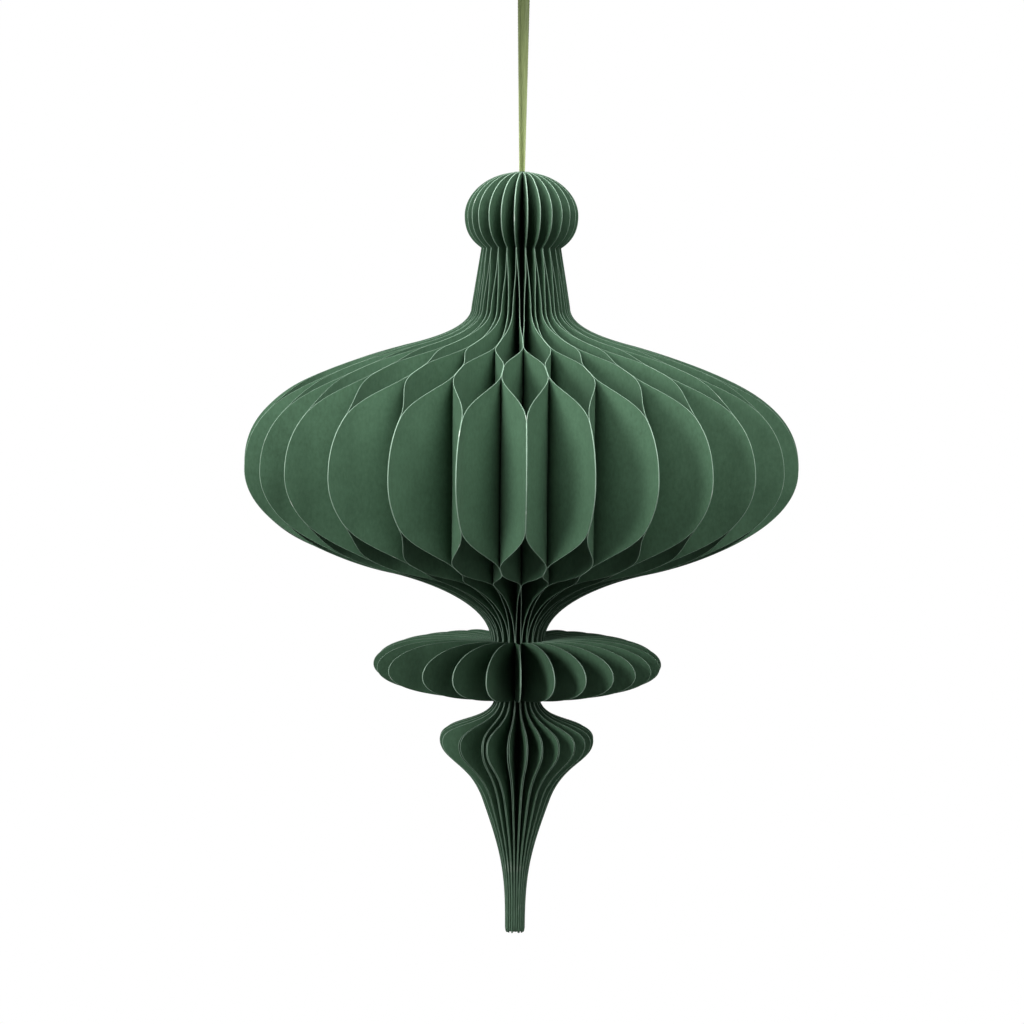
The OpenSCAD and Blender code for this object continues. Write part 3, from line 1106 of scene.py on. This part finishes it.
def fibre_group() -> bpy.types.NodeTree:
    """Shared effect: cloudy dye and short fibres of uncoated card.

    Returns:
        The group, with a place and the sizes of cloud and fibre in, and both out.
    """
    tree = Tree.group(
        "Card Fibre",
        "ShaderNodeTree",
        [
            ("Place", Socket.VECTOR, None),
            ("Cloud Scale", Socket.NUMBER, 90.0),
            ("Fibre Scale", Socket.NUMBER, 650.0),
            ("Fibre Stretch", Socket.NUMBER, 0.6),
        ],
        [("Cloud", Socket.NUMBER), ("Fibre", Socket.NUMBER)],
    )
    put = tree.source.outputs
    cloud = tree.noise(put["Place"], put["Cloud Scale"], 4.0, 0.6)
    drawn = tree.vectors("MULTIPLY", put["Place"], tree.vector(1.0, 1.0, put["Fibre Stretch"]))
    fibre = tree.noise(drawn, put["Fibre Scale"], 3.0, 0.65)
    tree.feed(tree.sink.inputs["Cloud"], tree.range(cloud, 0.3, 0.7))
    tree.feed(tree.sink.inputs["Fibre"], tree.range(fibre, 0.25, 0.75))
    return tree.tree


def cut_edge_group() -> bpy.types.NodeTree:
    """Shared effect: the paler core of dyed card where it is cut, with a few scuffs.

    Returns:
        The group, with a colour and the mark of the cut in, and a colour out.
    """
    tree = Tree.group(
        "Cut Edge",
        "ShaderNodeTree",
        [
            ("Place", Socket.VECTOR, None),
            ("Surface", Socket.COLOUR, (0.1, 0.2, 0.1, 1)),
            ("Core", Socket.COLOUR, (0.5, 0.6, 0.5, 1)),
            ("Cut", Socket.NUMBER, 0.0),
            ("Scuffs", Socket.NUMBER, 0.4),
        ],
        [("Colour", Socket.COLOUR), ("Bare", Socket.NUMBER)],
    )
    put = tree.source.outputs
    wear = tree.noise(put["Place"], 260.0, 5.0)
    depth = tree.between(0.72, 1.0, tree.range(wear, 0.3, 0.62))
    bare = tree.times(put["Cut"], depth)
    cut = tree.tint(put["Surface"], put["Core"], bare)
    scuff = tree.range(tree.noise(put["Place"], 85.0), 0.68, 0.74)
    scuff = tree.times(scuff, put["Cut"], put["Scuffs"])
    tree.feed(tree.sink.inputs["Colour"], tree.tint(cut, (0.86, 0.88, 0.83, 1), scuff))
    tree.feed(tree.sink.inputs["Bare"], bare)
    return tree.tree


@dataclass(frozen=True)
class Finish:
    """What every finish needs: a name, and a fresh material with its shader."""

    name: str

    def start(self) -> tuple[bpy.types.Material, Tree, bpy.types.Node]:
        """Make the material.

        Returns:
            The material, its tree and its Principled shader.
        """
        material = bpy.data.materials.new(self.name)
        material.use_nodes = True
        tree = Tree(material.node_tree)
        return material, tree, material.node_tree.nodes["Principled BSDF"]


@dataclass(frozen=True)
class CardFinish(Finish):
    """Uncoated card, dyed deep green, paler inside."""

    green: Colour = linear(75, 107, 83)
    deep: Colour = linear(53, 80, 59)
    core: Colour = linear(140, 164, 147)
    roughness: float = 0.88
    gloss: float = 0.25

    def material(self, fibre: bpy.types.NodeTree, edge: bpy.types.NodeTree) -> bpy.types.Material:
        """Build the finish.

        Args:
            fibre: The shared card fibre effect.
            edge: The shared cut edge effect.

        Returns:
            The material.
        """
        material, tree, shader = self.start()
        place = tree.place()
        paper = tree.add("ShaderNodeGroup", {"Place": place}, node_tree=fibre)
        fibres = paper.outputs["Fibre"]
        tone = tree.add("ShaderNodeAttribute", attribute_name="tone").outputs["Fac"]
        # The cut mark holds the pale cut core, with painted shade that dims it towards the tip and
        # at the neck.
        cut = tree.add("ShaderNodeAttribute", attribute_name="cut").outputs["Fac"]
        shade = tree.sum("MULTIPLY_ADD", paper.outputs["Cloud"], 0.22, 0.05)
        shade = tree.plus(shade, tree.times(fibres, 0.55))
        shade = tree.plus(shade, tree.times(tone, 0.2))
        feeds = {
            "Place": place,
            "Surface": tree.tint((*self.deep, 1), (*self.green, 1), shade),
            "Core": (*self.core, 1),
            "Cut": tree.sum("POWER", cut, 1.5),
        }
        worn = tree.add("ShaderNodeGroup", feeds, node_tree=edge)
        tree.feed(shader.inputs["Base Color"], worn.outputs["Colour"])
        rough = tree.between(self.roughness - 0.06, self.roughness + 0.04, fibres)
        tree.feed(shader.inputs["Roughness"], rough)
        tree.feed(shader.inputs["Specular IOR Level"], self.gloss)
        tree.bump(shader, fibres, 0.12, 0.1 * MM)
        return material


@dataclass(frozen=True)
class BindingFinish(Finish):
    """Thread wound round the stitched card, soaked in glue."""

    dark: Colour = linear(42, 66, 48)
    light: Colour = linear(84, 116, 90)
    thread_pitch: float = 0.6

    def material(self, fibre: bpy.types.NodeTree) -> bpy.types.Material:
        """Build the finish.

        Args:
            fibre: The shared card fibre effect.

        Returns:
            The material.
        """
        material, tree, shader = self.start()
        place = tree.place()
        paper = tree.add("ShaderNodeGroup", {"Place": place}, node_tree=fibre)
        pitch = math.tau / (20 * self.thread_pitch * MM)
        feeds = {"Vector": place, "Scale": pitch, "Distortion": 1.2}
        wound = tree.add("ShaderNodeTexWave", feeds, bands_direction="Z").outputs["Fac"]
        mask = tree.times(wound, paper.outputs["Cloud"])
        glued = tree.tint((*self.dark, 1), (*self.light, 1), mask)
        tree.feed(shader.inputs["Base Color"], glued)
        tree.feed(shader.inputs["Roughness"], tree.between(0.5, 0.8, paper.outputs["Fibre"]))
        tree.bump(shader, wound, 0.5, 0.2 * MM)
        return material


@dataclass(frozen=True)
class RibbonFinish(Finish):
    """Narrow woven ribbon, olive green, with lengthwise streaks, a soft lustre and painted light at
    the foot.
    """

    dark: Colour = linear(72, 84, 38)
    light: Colour = linear(156, 170, 113)
    weft_pitch: float = 0.34
    warp_pitch: float = 0.3
    # foot and fading place painted light: the colour is painted lighter over fading metres down to
    # the foot.
    foot: float = -0.106
    fading: float = 0.09
    streaks: tuple[float, float, float] = (1600, 45, 1)
    sheen: float = 0.1

    def material(self) -> bpy.types.Material:
        """Build the finish.

        Returns:
            The material, woven along the ribbon's own map.
        """
        material, tree, shader = self.start()
        cloth = tree.add("ShaderNodeUVMap", uv_map="UVMap").outputs[0]
        aside, along, _ = tree.parts(cloth)
        warp = tree.times(aside, math.tau / (self.warp_pitch * MM))
        weft = tree.times(along, math.tau / (self.weft_pitch * MM))
        threads = tree.sum("MULTIPLY_ADD", tree.sum("SINE", warp), 0.25, 0.5)
        threads = tree.sum("MULTIPLY_ADD", tree.sum("SINE", weft), 0.2, threads)
        streak = tree.noise(tree.vectors("MULTIPLY", cloth, self.streaks), 1.0, 4.0)
        band = tree.range(streak, 0.32, 0.68)
        # Painted light: the colour is pushed lighter over the last stretch down to the ribbon's
        # foot.
        level = tree.parts(tree.place())[2]
        painted_foot_light = tree.range(level, self.foot + self.fading, self.foot)
        mask = tree.sum("MULTIPLY_ADD", painted_foot_light, 1.2, tree.times(band, 0.4))
        mask = tree.plus(mask, tree.sum("MULTIPLY_ADD", threads, 0.3, -0.47))
        woven = tree.tint((*self.dark, 1), (*self.light, 1), mask)
        tree.feed(shader.inputs["Base Color"], woven)
        tree.feed(shader.inputs["Roughness"], tree.between(0.5, 0.72, band))
        tree.feed(shader.inputs["Sheen Weight"], self.sheen)
        tree.bump(shader, threads, 0.4, 0.1 * MM)
        return material


@dataclass
class Studio:
    """White room: a pale floor far below, soft lights and the camera."""

    camera_distance: float = 1.567
    camera_below_crown: float = 0.066
    camera_aside: float = -0.0036
    pitch: float = 4.11
    roll: float = 0.54
    view_angle: float = 19.525
    floor_depth: float = 1.15
    floor_radius: float = 2.2
    room_light: float = 0.02
    narrow_spread: float = 60.0
    aim_lift: float = 0.06
    lights: tuple[tuple[str, tuple[float, float, float], float, float, bool], ...] = field(
        default=(
            ("key", (-1.372, -1.372, 0.223), 0.9, 4.2, True),
            ("fill", (0.985, -1.706, 0.087), 1.4, 7.8, False),
            ("high_left", (-0.643, -0.766, 1.472), 0.9, 3.4, True),
            ("high_right", (0.681, -0.812, 1.436), 1.2, 5.2, True),
            ("side_left", (-1.286, -0.0, 1.272), 1.2, 3.1, True),
            ("side_right", (1.242, -0.333, 1.272), 1.2, 1.9, True),
            ("top", (0.0, -0.139, 1.334), 1.4, 8.5, False),
        )
    )

    def place_camera(self, crown_height: float) -> None:
        """Stand the camera where the photographer stood.

        Args:
            crown_height: Height of the top of the crown, in metres.
        """
        camera = placed("camera", bpy.data.cameras.new("camera"))
        camera.data.sensor_width = 36
        camera.data.angle = math.radians(self.view_angle)
        camera.data.clip_end = 50
        camera.location = (
            self.camera_aside,
            -self.camera_distance,
            crown_height - self.camera_below_crown,
        )
        camera.rotation_euler = (math.radians(90 - self.pitch), 0, 0)
        camera.rotation_euler.rotate_axis("Z", math.radians(self.roll))
        bpy.context.scene.camera = camera

    def lay_floor(self, target_height: float) -> bpy.types.Object:
        """Lay the round pale floor under the ornament.

        Args:
            target_height: Height of the top of the crown, in metres.

        Returns:
            The floor.
        """
        sides = 96
        turn = math.tau / sides
        ring = [
            (
                self.floor_radius * math.cos(i * turn),
                self.floor_radius * math.sin(i * turn),
                target_height - self.floor_depth,
            )
            for i in range(sides)
        ]
        mesh = bpy.data.meshes.new("studio_floor")
        mesh.from_pydata(ring, [], [tuple(range(sides))])
        floor = placed("studio_floor", mesh)
        material, tree, shader = Finish("floor_paint").start()
        noise = tree.noise(tree.place(), 3.0)
        paint = tree.tint((0.86, 0.86, 0.85, 1), (0.9, 0.9, 0.89, 1), noise)
        tree.feed(shader.inputs["Base Color"], paint)
        tree.feed(shader.inputs["Roughness"], 0.9)
        mesh.materials.append(material)
        return floor

    def light_room(self, target: Vector) -> None:
        """Set the white room and the soft lights.

        Args:
            target: Point that the lights look at.
        """
        world = bpy.data.worlds.new("white_room")
        bpy.context.scene.world = world
        world.use_nodes = True
        tree = Tree(world.node_tree)
        wall = world.node_tree.nodes["Background"]
        wall.inputs["Color"].default_value = (1, 1, 1, 1)
        seen = tree.add("ShaderNodeLightPath").outputs["Is Camera Ray"]
        tree.feed(wall.inputs["Strength"], tree.between(self.room_light, 1.0, seen))
        for name, place, size, power, narrow in self.lights:
            data = bpy.data.lights.new(name, "AREA")
            data.shape = "DISK"
            data.size = size
            data.energy = power
            aim = target - Vector(place)
            if narrow:
                data.spread = math.radians(self.narrow_spread)
                aim.z += self.aim_lift
            lamp = placed(name, data)
            lamp.location = place
            lamp.rotation_euler = aim.to_track_quat("-Z", "Y").to_euler()
        bpy.context.scene.view_settings.view_transform = "Standard"


def main() -> None:
    """Build the ornament piece by piece and report each one."""
    logging.basicConfig(level=logging.INFO, format="%(name)s: %(message)s")
    shape = Silhouette()
    crown_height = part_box("spine_binding")[1].z
    studio = Studio()
    studio.place_camera(crown_height)
    fibre, edge = fibre_group(), cut_edge_group()
    ribbon = HangingRibbon(crown_height).build(RibbonFinish("woven_ribbon").material())
    log.info("%s: %d faces", ribbon.name, len(ribbon.data.polygons))
    leaves = LeafFan(shape, crown_height).build(CardFinish("green_card").material(fibre, edge))
    log.info("%d leaves of %d faces", len(leaves), len(leaves[0].data.polygons))
    core = SpineBinding().dress(BindingFinish("bound_core").material(fibre))
    log.info("%s dressed", core.name)
    studio.lay_floor(crown_height)
    studio.light_room(Vector((0, 0, crown_height + shape.globe_rim * MM)))


if __name__ == "__main__":
    main()
